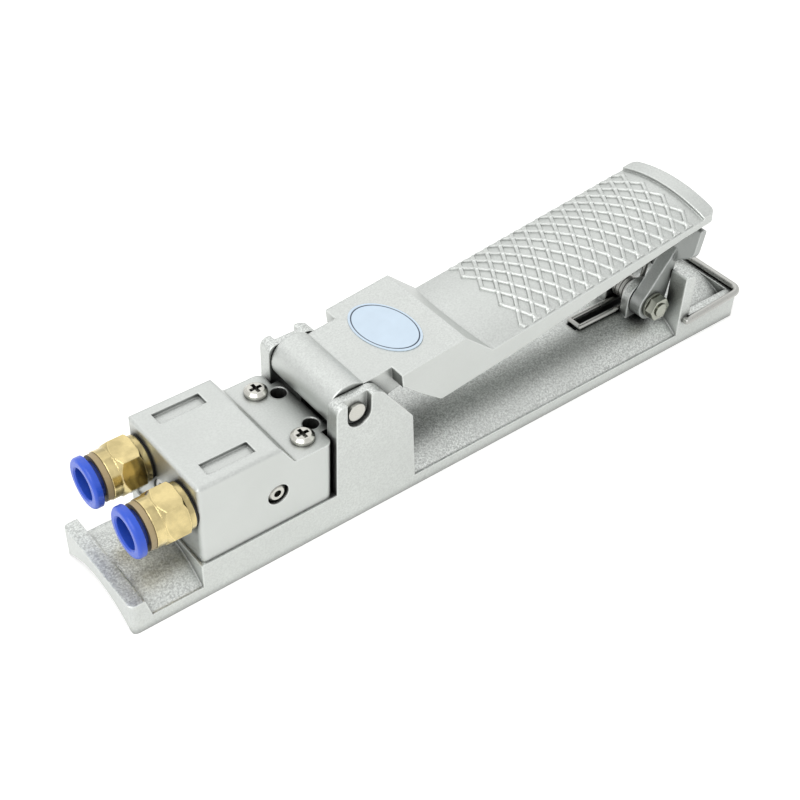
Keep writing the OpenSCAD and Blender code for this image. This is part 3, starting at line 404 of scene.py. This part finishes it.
def tread_tree(material):
    """Geometry Nodes tree of the treadle lattice: one short rib in each cell of a grid, raked in turn."""
    tree, identifiers, given = new_growth("treadle_lattice", {
        "Grid length": "Float", "Grid width": "Float", "Columns": "Int", "Rows": "Int", "Middle": "Vector",
        "Rib size": "Vector", "Rib taper": "Float", "Rib lift": "Vector", "Rake angle": "Float",
        "Rake slope": "Float", "Near edge": "Float", "Far edge": "Float", "Camber square": "Float",
        "Camber middle": "Vector", "Pin": "Vector", "Tilt": "Vector",
    })

    # One point in the middle of each cell; neighbouring cells are marked +1 and -1 by turns.
    grid = add(tree, "GeometryNodeMeshGrid", {
        "Size X": given["Grid length"], "Size Y": given["Grid width"],
        "Vertices X": given["Columns"], "Vertices Y": given["Rows"],
    })
    index = add(tree, "GeometryNodeInputIndex")
    share = add(tree, "ShaderNodeMath", {0: index.outputs[0], 1: given["Rows"]}, operation="DIVIDE")
    column = add(tree, "ShaderNodeMath", {0: share.outputs[0]}, operation="FLOOR")
    row = add(tree, "ShaderNodeMath", {0: index.outputs[0], 1: given["Rows"]}, operation="FLOORED_MODULO")
    step = add(tree, "ShaderNodeMath", {0: column.outputs[0], 1: row.outputs[0]}, operation="ADD")
    odd = add(tree, "ShaderNodeMath", {0: step.outputs[0], 1: 2.0}, operation="FLOORED_MODULO")
    sign = add(tree, "ShaderNodeMath", {0: odd.outputs[0], 1: 2.0, 2: -1.0}, operation="MULTIPLY_ADD")
    marked = add(tree, "GeometryNodeStoreNamedAttribute", {
        "Geometry": grid.outputs["Mesh"], "Name": "rake", "Value": sign.outputs[0],
    }, data_type="FLOAT", domain="POINT")
    placed = add(tree, "GeometryNodeTransform", {
        "Geometry": marked.outputs[0], "Translation": given["Middle"],
    })

    # One rib: a bar with sloping sides whose root is sunk in the plate.
    bar = add(tree, "GeometryNodeMeshCube", {"Size": given["Rib size"]})
    spot = add(tree, "ShaderNodeSeparateXYZ", {0: add(tree, "GeometryNodeInputPosition").outputs[0]})
    upper = add(tree, "ShaderNodeMath", {0: spot.outputs["Z"], 1: 0.0}, operation="GREATER_THAN")
    pinch = add(tree, "ShaderNodeMath", {0: upper.outputs[0], 1: given["Rib taper"]}, operation="MULTIPLY")
    inward = add(tree, "ShaderNodeMath", {0: spot.outputs["Y"], 1: pinch.outputs[0]}, operation="MULTIPLY")
    side = add(tree, "ShaderNodeCombineXYZ", {"Y": inward.outputs[0]})
    sloped = add(tree, "GeometryNodeSetPosition", {
        "Geometry": bar.outputs["Mesh"], "Offset": side.outputs[0],
    })
    rib = add(tree, "GeometryNodeTransform", {
        "Geometry": sloped.outputs[0], "Translation": given["Rib lift"],
    })

    raked = add(tree, "GeometryNodeInputNamedAttribute", {"Name": "rake"}, data_type="FLOAT")
    angle = add(tree, "ShaderNodeMath", {
        0: raked.outputs[0], 1: given["Rake angle"],
    }, operation="MULTIPLY")
    spin = add(tree, "ShaderNodeCombineXYZ", {"Z": angle.outputs[0]})
    ribs = add(tree, "GeometryNodeInstanceOnPoints", {
        "Points": placed.outputs[0], "Instance": rib.outputs[0], "Rotation": spin.outputs[0],
    })
    loose = add(tree, "GeometryNodeRealizeInstances", {"Geometry": ribs.outputs[0]})

    # Ribs end along their own line at the long edges, and follow the camber of the plate.
    at = add(tree, "ShaderNodeSeparateXYZ", {0: add(tree, "GeometryNodeInputPosition").outputs[0]})
    inside = add(tree, "ShaderNodeClamp", {
        "Value": at.outputs["Y"], "Min": given["Near edge"], "Max": given["Far edge"],
    })
    past = add(tree, "ShaderNodeMath", {0: inside.outputs[0], 1: at.outputs["Y"]}, operation="SUBTRACT")
    along = add(tree, "ShaderNodeMath", {0: past.outputs[0], 1: raked.outputs[0]}, operation="MULTIPLY")
    slide = add(tree, "ShaderNodeMath", {0: along.outputs[0], 1: given["Rake slope"]}, operation="MULTIPLY")
    across = add(tree, "ShaderNodeMath", {0: inside.outputs[0], 1: inside.outputs[0]}, operation="MULTIPLY")
    left_over = add(tree, "ShaderNodeMath", {
        0: given["Camber square"], 1: across.outputs[0],
    }, operation="SUBTRACT")
    arch = add(tree, "ShaderNodeMath", {0: left_over.outputs[0]}, operation="SQRT")
    shift = add(tree, "ShaderNodeCombineXYZ", {
        "X": slide.outputs[0], "Y": past.outputs[0], "Z": arch.outputs[0],
    })
    bent = add(tree, "GeometryNodeSetPosition", {
        "Geometry": loose.outputs[0], "Offset": shift.outputs[0],
    })
    level = add(tree, "GeometryNodeTransform", {
        "Geometry": bent.outputs[0], "Translation": given["Camber middle"],
    })
    hung = add(tree, "GeometryNodeTransform", {
        "Geometry": level.outputs[0], "Translation": given["Pin"], "Rotation": given["Tilt"],
    })
    end_growth(tree, hung.outputs[0], material)
    return tree, identifiers


def coil_tree(material):
    """Geometry Nodes tree of a coil spring: a round wire along a spiral, turned to lie along X."""
    tree, identifiers, given = new_growth("coil_spring", {
        "Turns": "Float", "Coil radius": "Float", "Coil height": "Float", "Wire radius": "Float",
        "Start": "Vector", "Lay": "Vector",
    })
    path = add(tree, "GeometryNodeCurveSpiral", {
        "Resolution": COIL_POINTS, "Rotations": given["Turns"], "Start Radius": given["Coil radius"],
        "End Radius": given["Coil radius"], "Height": given["Coil height"],
    })
    section = add(tree, "GeometryNodeCurvePrimitiveCircle", {
        "Resolution": WIRE_POINTS, "Radius": given["Wire radius"],
    })
    wire = add(tree, "GeometryNodeCurveToMesh", {
        "Curve": path.outputs[0], "Profile Curve": section.outputs[0], "Fill Caps": True,
    })
    laid = add(tree, "GeometryNodeTransform", {
        "Geometry": wire.outputs[0], "Translation": given["Start"], "Rotation": given["Lay"],
    })
    end_growth(tree, laid.outputs[0], material)
    return tree, identifiers


def grown(name, tree, identifiers, values):
    """Runs a Geometry Nodes tree and returns its result as a plain mesh object at the origin."""
    seed = bpy.data.objects.new(name + "_seed", bpy.data.meshes.new(name + "_seed"))
    bpy.context.scene.collection.objects.link(seed)
    modifier = seed.modifiers.new("grow", "NODES")
    modifier.node_group = tree
    for key, value in values.items():
        modifier[identifiers[key]] = value
    seed.update_tag()
    depsgraph = bpy.context.evaluated_depsgraph_get()
    mesh = bpy.data.meshes.new_from_object(seed.evaluated_get(depsgraph))
    bpy.data.objects.remove(seed)
    mesh.name = name
    if not mesh.polygons:
        raise RuntimeError(name + " came out empty")
    piece = bpy.data.objects.new(name, mesh)
    bpy.context.scene.collection.objects.link(piece)
    return piece


class CastingLook(bpy.types.PropertyGroup):
    """Finish of the castings."""

    colour: bpy.props.FloatVectorProperty(
        name="Colour", description="Colour of the blasted aluminium", subtype="COLOR",
        default=srgb("C9CCC9"))
    # The flap gets a darker copy of the casting grey: painted shade, as it lies under the treadle.
    flap_shaded_colour: bpy.props.FloatVectorProperty(
        name="Flap colour", description="Colour of the flap, which is left as cast", subtype="COLOR",
        default=srgb("AEB1AF"))
    roughness: bpy.props.FloatProperty(
        name="Roughness", description="Roughness of the blasted skin", subtype="FACTOR", min=0.2, max=0.9,
        default=0.44)
    grit: bpy.props.FloatProperty(
        name="Grit", description="Grain of the blasted skin", unit="LENGTH", default=0.6 * MM)
    relief: bpy.props.FloatProperty(
        name="Relief", description="Depth of that grain", unit="LENGTH", default=0.12 * MM)
    base_speckle: bpy.props.FloatProperty(
        name="Base speckle", description="Strength of that grain on the base", subtype="FACTOR",
        min=0, max=1, default=0.95)
    pedal_speckle: bpy.props.FloatProperty(
        name="Pedal speckle", description="Strength of that grain on the pedal and the flap",
        subtype="FACTOR", min=0, max=1, default=0.28)
    body_speckle: bpy.props.FloatProperty(
        name="Body speckle", description="Strength of that grain on the valve body", subtype="FACTOR",
        min=0, max=1, default=0.2)
    # Edges within this radius are brightened: partly wear, partly a painted highlight.
    edge: bpy.props.FloatProperty(
        name="Edge", description="Radius of the rubbed edges", unit="LENGTH", default=0.9 * MM)


class TreadSizes(bpy.types.PropertyGroup):
    """Lattice on the treadle, in the pedal's own axes."""

    cell_length: bpy.props.FloatProperty(
        name="Cell length", description="Length of a diamond along the pedal", unit="LENGTH",
        default=5.69 * MM)
    cell_width: bpy.props.FloatProperty(
        name="Cell width", description="Width of a diamond across the pedal", unit="LENGTH",
        default=9.46 * MM)
    start: bpy.props.FloatProperty(
        name="Start", description="Distance of the lattice from the hinge pin", unit="LENGTH",
        default=65.2 * MM)
    columns: bpy.props.IntProperty(
        name="Columns", description="Half diamonds along the pedal", min=1, default=27)
    rows: bpy.props.IntProperty(
        name="Rows", description="Half diamonds across the pedal", min=1, default=9)
    shift: bpy.props.FloatProperty(
        name="Shift", description="Shift of the lattice across the pedal", unit="LENGTH",
        default=-0.76 * MM)
    margin: bpy.props.FloatProperty(
        name="Margin", description="Plain margin along the long edges", unit="LENGTH", default=0.6 * MM)
    rib_width: bpy.props.FloatProperty(
        name="Rib width", description="Width of a rib at its root", unit="LENGTH", default=2.1 * MM)
    rib_top: bpy.props.FloatProperty(
        name="Rib top", description="Width of a rib at its top", unit="LENGTH", default=0.9 * MM)
    rib_height: bpy.props.FloatProperty(
        name="Rib height", description="Height of the ribs over the plate", unit="LENGTH",
        default=0.7 * MM)
    camber: bpy.props.FloatProperty(
        name="Camber", description="Rise of the arched plate to its middle", unit="LENGTH",
        default=3.6 * MM)
    half_width: bpy.props.FloatProperty(
        name="Half width", description="Half the width of the pedal", unit="LENGTH",
        default=(PEDAL_HIGH.y - PEDAL_LOW.y) / 2)
    edge_drop: bpy.props.FloatProperty(
        name="Edge drop", description="Depth of the plate's long edges below the pin", unit="LENGTH",
        default=7.1 * MM)


class LabelLook(bpy.types.PropertyGroup):
    """Oval label on the hub."""

    paper: bpy.props.FloatVectorProperty(
        name="Film", description="Colour of the label film", subtype="COLOR", default=srgb("D0E1F0"))
    ink: bpy.props.FloatVectorProperty(
        name="Line", description="Colour of the printed line", subtype="COLOR", default=srgb("2B3A4E"))
    width: bpy.props.FloatProperty(
        name="Width", description="Width of the oval along the pedal", unit="LENGTH", default=16.8 * MM)
    length: bpy.props.FloatProperty(
        name="Length", description="Length of the oval across the pedal", unit="LENGTH", default=27.2 * MM)
    turn: bpy.props.FloatProperty(
        name="Turn", description="Turn of the oval on the hub", subtype="ANGLE",
        default=math.radians(10.8))
    line_at: bpy.props.FloatProperty(
        name="Line place", description="Place of the line, as a share of the oval", subtype="FACTOR",
        min=0, max=1, default=0.915)
    line_width: bpy.props.FloatProperty(
        name="Line width", description="Width of the line, as a share of the oval", subtype="FACTOR",
        min=0, max=1, default=0.036)


class HardwareLook(bpy.types.PropertyGroup):
    """Colours of the fittings and of the bought-in parts."""

    brass: bpy.props.FloatVectorProperty(
        name="Brass", description="Colour of the turned brass", subtype="COLOR", default=srgb("CEBD8A"))
    ring: bpy.props.FloatVectorProperty(
        name="Ring", description="Colour of the release rings", subtype="COLOR", default=srgb("2D58D2"))
    sleeve: bpy.props.FloatVectorProperty(
        name="Sleeve", description="Colour of the fitting sleeves", subtype="COLOR", default=srgb("AE9B75"))
    rubber: bpy.props.FloatVectorProperty(
        name="Rubber", description="Colour of the seals", subtype="COLOR", default=srgb("1E1E20"))
    steel: bpy.props.FloatVectorProperty(
        name="Steel", description="Colour of the plated steel and of the turned inner parts",
        subtype="COLOR", default=srgb("C4C3BC"))
    # A darker copy of the steel grey for the flap's bolt, nut and washers: painted shade under the treadle.
    painted_shade_steel: bpy.props.FloatVectorProperty(
        name="Oiled steel", description="Colour of the flap's bolt, nut and washers", subtype="COLOR",
        default=srgb("A6A89D"))
    wire: bpy.props.FloatVectorProperty(
        name="Wire", description="Colour of the drawn spring wire", subtype="COLOR", default=srgb("B4B4B0"))


class SpringSizes(bpy.types.PropertyGroup):
    """Coil spring behind the spool."""

    turns: bpy.props.FloatProperty(name="Turns", description="Turns of the spring", min=1, default=6)
    wire: bpy.props.FloatProperty(
        name="Wire", description="Diameter of the spring wire", unit="LENGTH", default=1.0 * MM)


class StageLook(bpy.types.PropertyGroup):
    """Floor, lamps and sky."""

    floor: bpy.props.FloatVectorProperty(
        name="Floor", description="Colour of the floor", subtype="COLOR", default=srgb("F4F4F3"))
    floor_lift: bpy.props.FloatProperty(
        name="Floor lift", description="Glow that whitens the floor", min=0, max=1, default=0.46)
    key_power: bpy.props.FloatProperty(
        name="Key lamp", description="Power of the large lamp over the fittings", subtype="POWER",
        default=4.8)
    back_power: bpy.props.FloatProperty(
        name="Back lamp", description="Power of the large lamp behind the object", subtype="POWER",
        default=1.4)
    sky: bpy.props.FloatProperty(
        name="Sky", description="Strength of the even light from all round", min=0, max=1, default=0.6)


class PEDALVALVE_OT_castings(bpy.types.Operator):
    """Gives the four castings their skins"""

    bl_idname = "pedal_valve.castings"
    bl_label = "Castings"

    def execute(self, context):
        look = context.scene.pedal_valve_castings
        # Coarse: pale, with a salt and pepper grain on the floor of the base. Blasted: a soft satin with
        # bright edges, partly a painted highlight. Shaded: a darker copy of that grey, painted shade for the
        # flap. Fine: an almost even satin.
        for node, name, colour, speckle in (
            ("base", "cast_aluminium_coarse", look.colour, look.base_speckle),
            ("pedal", "cast_aluminium_blasted", look.colour, look.pedal_speckle),
            ("flap", "cast_aluminium_raw", look.flap_shaded_colour, look.pedal_speckle),
            ("valve_body", "cast_aluminium_fine", look.colour, look.body_speckle),
        ):
            skin = cast_alloy(name, colour, look.roughness, look.grit, speckle, look.relief, look.edge)
            dress((node,), skin)
        return {"FINISHED"}


class PEDALVALVE_OT_tread(bpy.types.Operator):
    """Raises the diamond lattice on the treadle"""

    bl_idname = "pedal_valve.tread"
    bl_label = "Treadle lattice"

    def execute(self, context):
        sizes = context.scene.pedal_valve_tread
        half_length = sizes.cell_length / 2
        half_row = sizes.cell_width / 2
        radius = (sizes.half_width**2 + sizes.camber**2) / (2 * sizes.camber)
        reach = sizes.half_width - sizes.margin
        rib_length = math.hypot(half_length, half_row) + sizes.rib_top
        # The lattice is cast with the pedal, so it has the pedal's skin.
        tree, identifiers = tread_tree(bpy.data.materials["cast_aluminium_blasted"])
        lattice = grown("treadle_lattice", tree, identifiers, {
            "Grid length": half_length * (sizes.columns - 1),
            "Grid width": half_row * (sizes.rows - 1),
            "Columns": sizes.columns,
            "Rows": sizes.rows,
            "Middle": (sizes.start + half_length * sizes.columns / 2, sizes.shift, 0.0),
            "Rib size": (rib_length, sizes.rib_width, sizes.rib_height + RIB_ROOT),
            "Rib taper": sizes.rib_top / sizes.rib_width - 1,
            "Rib lift": (0.0, 0.0, (sizes.rib_height - RIB_ROOT) / 2),
            "Rake angle": math.atan2(half_row, half_length),
            "Rake slope": half_length / half_row,
            "Near edge": -reach,
            "Far edge": reach,
            "Camber square": radius**2,
            "Camber middle": (0.0, 0.0, sizes.camber - sizes.edge_drop - radius),
            "Pin": tuple(HINGE_PIN),
            "Tilt": (0.0, -PEDAL_TILT, 0.0),
        })
        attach(lattice, "pedal")
        return {"FINISHED"}


class PEDALVALVE_OT_label(bpy.types.Operator):
    """Prints the oval label on the hub"""

    bl_idname = "pedal_valve.label"
    bl_label = "Label"

    def execute(self, context):
        low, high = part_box("pedal_label")
        # Vinyl film: a pale, even blue with a soft gloss.
        dress(("pedal_label",), label_film(context.scene.pedal_valve_label, (low + high) / 2))
        return {"FINISHED"}


class PEDALVALVE_OT_fittings(bpy.types.Operator):
    """Finishes the two push-in fittings and all seals"""

    bl_idname = "pedal_valve.fittings"
    bl_label = "Fittings"

    def execute(self, context):
        look = context.scene.pedal_valve_hardware
        # Turned brass: a warm pale yellow whose facets mirror the room.
        brass = turned_metal(
            "brass_turned", look.brass, roughness=0.17, pitch=2.2 * MM, groove=0.04 * MM, edge=0.5 * MM)
        dress(("fitting_bodies",), brass)
        # Moulded acetal: a strong blue with a soft sheen.
        blue = moulded(
            "acetal_blue_moulded", look.ring, roughness=0.34, grain_size=0.5 * MM, grain_depth=0.02 * MM,
            coat=0.15)
        dress(("release_ring_near", "release_ring_far"), blue)
        # Moulded nylon: a brownish beige, duller than the rings.
        beige = moulded(
            "sleeve_nylon_moulded", look.sleeve, roughness=0.45, grain_size=0.5 * MM,
            grain_depth=0.02 * MM, coat=0.0)
        dress(("fitting_sleeves",), beige)
        # Nitrile rubber: almost black and matte.
        rubber = moulded(
            "nitrile_rubber", look.rubber, roughness=0.6, grain_size=0.4 * MM, grain_depth=0.03 * MM,
            coat=0.0)
        dress(("port_seals", "tube_seals", "spool_seals", "plug_seal", "stem_wiper"), rubber)
        return {"FINISHED"}


class PEDALVALVE_OT_hardware(bpy.types.Operator):
    """Finishes the screws, pins, springs, wire and turned inner parts"""

    bl_idname = "pedal_valve.hardware"
    bl_label = "Hardware"

    def execute(self, context):
        look = context.scene.pedal_valve_hardware
        # Zinc plated steel: the brightest metal here, with clear highlights.
        plated = bright_wire("steel_zinc_plated", look.steel, roughness=0.22, grain_size=2.5 * MM)
        dress(("body_screws", "side_plug", "hinge_pin"), plated)
        # A darker copy of the plated steel, painted shade under the treadle, and glossier.
        painted_shade_steel = bright_wire("steel_oiled", look.painted_shade_steel, roughness=0.13, grain_size=2.5 * MM)
        dress(("flap_bolt", "flap_nut", "flap_washers"), painted_shade_steel)
        # Drawn spring wire: a middle grey with long soft highlights.
        wire = bright_wire("spring_wire_drawn", look.wire, roughness=0.28, grain_size=3 * MM)
        dress(("bail", "flap_spring", "plug_clip", "grab_rings"), wire)
        # Turned aluminium: pale and bright, with tool rings.
        turned = turned_metal(
            "aluminium_turned", look.steel, roughness=0.3, pitch=2.5 * MM, groove=0.02 * MM, edge=0.2 * MM)
        dress(("spool", "end_plug"), turned)
        return {"FINISHED"}


class PEDALVALVE_OT_spring(bpy.types.Operator):
    """Winds the spool spring, fixed to the frame"""

    bl_idname = "pedal_valve.spring"
    bl_label = "Spool spring"

    def execute(self, context):
        sizes = context.scene.pedal_valve_spring
        low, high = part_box("spool_spring")
        middle = (low + high) / 2
        length = high.x - low.x
        tree, identifiers = coil_tree(bpy.data.materials["spring_wire_drawn"])
        spring = grown("spool_coil", tree, identifiers, {
            "Turns": sizes.turns,
            "Coil radius": (high.y - low.y - sizes.wire) / 2,
            "Coil height": length - sizes.wire,
            "Wire radius": sizes.wire / 2,
            "Start": (low.x + sizes.wire / 2, middle.y, middle.z),
            "Lay": (math.pi / 2, 0.0, math.pi / 2),
        })
        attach(spring, "frame")
        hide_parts("spool_spring")
        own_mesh(spring)
        return {"FINISHED"}


class PEDALVALVE_OT_stage(bpy.types.Operator):
    """Sets the pale floor, the soft lamps and the camera"""

    bl_idname = "pedal_valve.stage"
    bl_label = "Stage"

    def execute(self, context):
        look = context.scene.pedal_valve_stage
        scene = context.scene
        scene.view_settings.view_transform = "Standard"

        # Matte paper: it keeps the object's shadow, and its glow lifts it to white where it is seen.
        material, tree, _ = new_finish("floor_pale")
        lift = add(tree, "ShaderNodeMath", {0: in_sight(tree), 1: look.floor_lift}, operation="MULTIPLY")
        paper = add(tree, "ShaderNodeBsdfDiffuse", {"Color": shade(look.floor, 1.0)})
        glow = add(tree, "ShaderNodeEmission", {
            "Color": shade(look.floor, 1.0), "Strength": lift.outputs[0],
        })
        both = add(tree, "ShaderNodeAddShader", {0: paper.outputs[0], 1: glow.outputs[0]})
        add(tree, "ShaderNodeOutputMaterial", {"Surface": both.outputs[0]})
        corners = [(x * FLOOR_REACH, y * FLOOR_REACH, 0) for x, y in ((-1, -1), (1, -1), (1, 1), (-1, 1))]
        mesh = bpy.data.meshes.new("floor")
        mesh.from_pydata(corners, [], [(0, 1, 2, 3)])
        mesh.materials.append(material)
        floor = bpy.data.objects.new("floor", mesh)
        floor.location.z = CAD_LOW.z - FLOOR_GAP
        scene.collection.objects.link(floor)

        # The sky is white where it is seen, and gives the object less light than that.
        world = bpy.data.worlds.new("studio")
        world.use_nodes = True
        tree = world.node_tree
        tree.nodes.clear()
        level = add(tree, "ShaderNodeMapRange", {
            "Value": in_sight(tree), FROM_LOW: 0.0, FROM_HIGH: 1.0, TO_LOW: look.sky, TO_HIGH: 1.0,
        })
        sky = add(tree, "ShaderNodeBackground", {"Color": (1, 1, 1, 1), "Strength": level.outputs[0]})
        add(tree, "ShaderNodeOutputWorld", {"Surface": sky.outputs[0]})
        scene.world = world

        for name, power, wide, deep, spot in LAMPS:
            lamp = bpy.data.lights.new(name, "AREA")
            lamp.shape = "RECTANGLE"
            lamp.energy = getattr(look, power)
            lamp.size = wide
            lamp.size_y = deep
            holder = bpy.data.objects.new(name, lamp)
            holder.location = spot
            holder.rotation_euler = (LAMP_AIM - spot).to_track_quat("-Z", "Y").to_euler()
            scene.collection.objects.link(holder)

        eye = bpy.data.cameras.new("camera")
        eye.lens = CAMERA_LENS
        eye.sensor_width = CAMERA_SENSOR
        eye.clip_start = CAMERA_CLIP
        camera = bpy.data.objects.new("camera", eye)
        axes = Matrix((CAMERA_RIGHT, CAMERA_UP, CAMERA_RIGHT.cross(CAMERA_UP)))
        camera.matrix_world = Matrix.Translation(CAMERA_PLACE) @ axes.transposed().to_4x4()
        scene.collection.objects.link(camera)
        scene.camera = camera
        return {"FINISHED"}


class PEDALVALVE_PT_panel(bpy.types.Panel):
    """Sidebar panel of the pedal valve"""

    bl_label = "Pedal Valve"
    bl_idname = "PEDALVALVE_PT_panel"
    bl_space_type = "VIEW_3D"
    bl_region_type = "UI"
    bl_category = "Pedal Valve"

    def draw(self, context):
        for step in STEPS:
            self.layout.operator(step.bl_idname)
        for key in GROUPS:
            box = self.layout.box()
            group = getattr(context.scene, key)
            for name in group.__annotations__:
                box.prop(group, name)


GROUPS = {
    "pedal_valve_castings": CastingLook,
    "pedal_valve_tread": TreadSizes,
    "pedal_valve_label": LabelLook,
    "pedal_valve_hardware": HardwareLook,
    "pedal_valve_spring": SpringSizes,
    "pedal_valve_stage": StageLook,
}
STEPS = (
    PEDALVALVE_OT_castings,
    PEDALVALVE_OT_tread,
    PEDALVALVE_OT_label,
    PEDALVALVE_OT_fittings,
    PEDALVALVE_OT_hardware,
    PEDALVALVE_OT_spring,
    PEDALVALVE_OT_stage,
)


def register():
    for cls in (*GROUPS.values(), *STEPS, PEDALVALVE_PT_panel):
        bpy.utils.register_class(cls)
    for key, cls in GROUPS.items():
        setattr(bpy.types.Scene, key, bpy.props.PointerProperty(type=cls))


def unregister():
    for key in GROUPS:
        delattr(bpy.types.Scene, key)
    for cls in reversed((*GROUPS.values(), *STEPS, PEDALVALVE_PT_panel)):
        bpy.utils.unregister_class(cls)


def main():
    register()
    bpy.ops.pedal_valve.castings()
    bpy.ops.pedal_valve.tread()
    bpy.ops.pedal_valve.label()
    bpy.ops.pedal_valve.fittings()
    bpy.ops.pedal_valve.hardware()
    bpy.ops.pedal_valve.spring()
    bpy.ops.pedal_valve.stage()


if __name__ == "__main__":
    main()
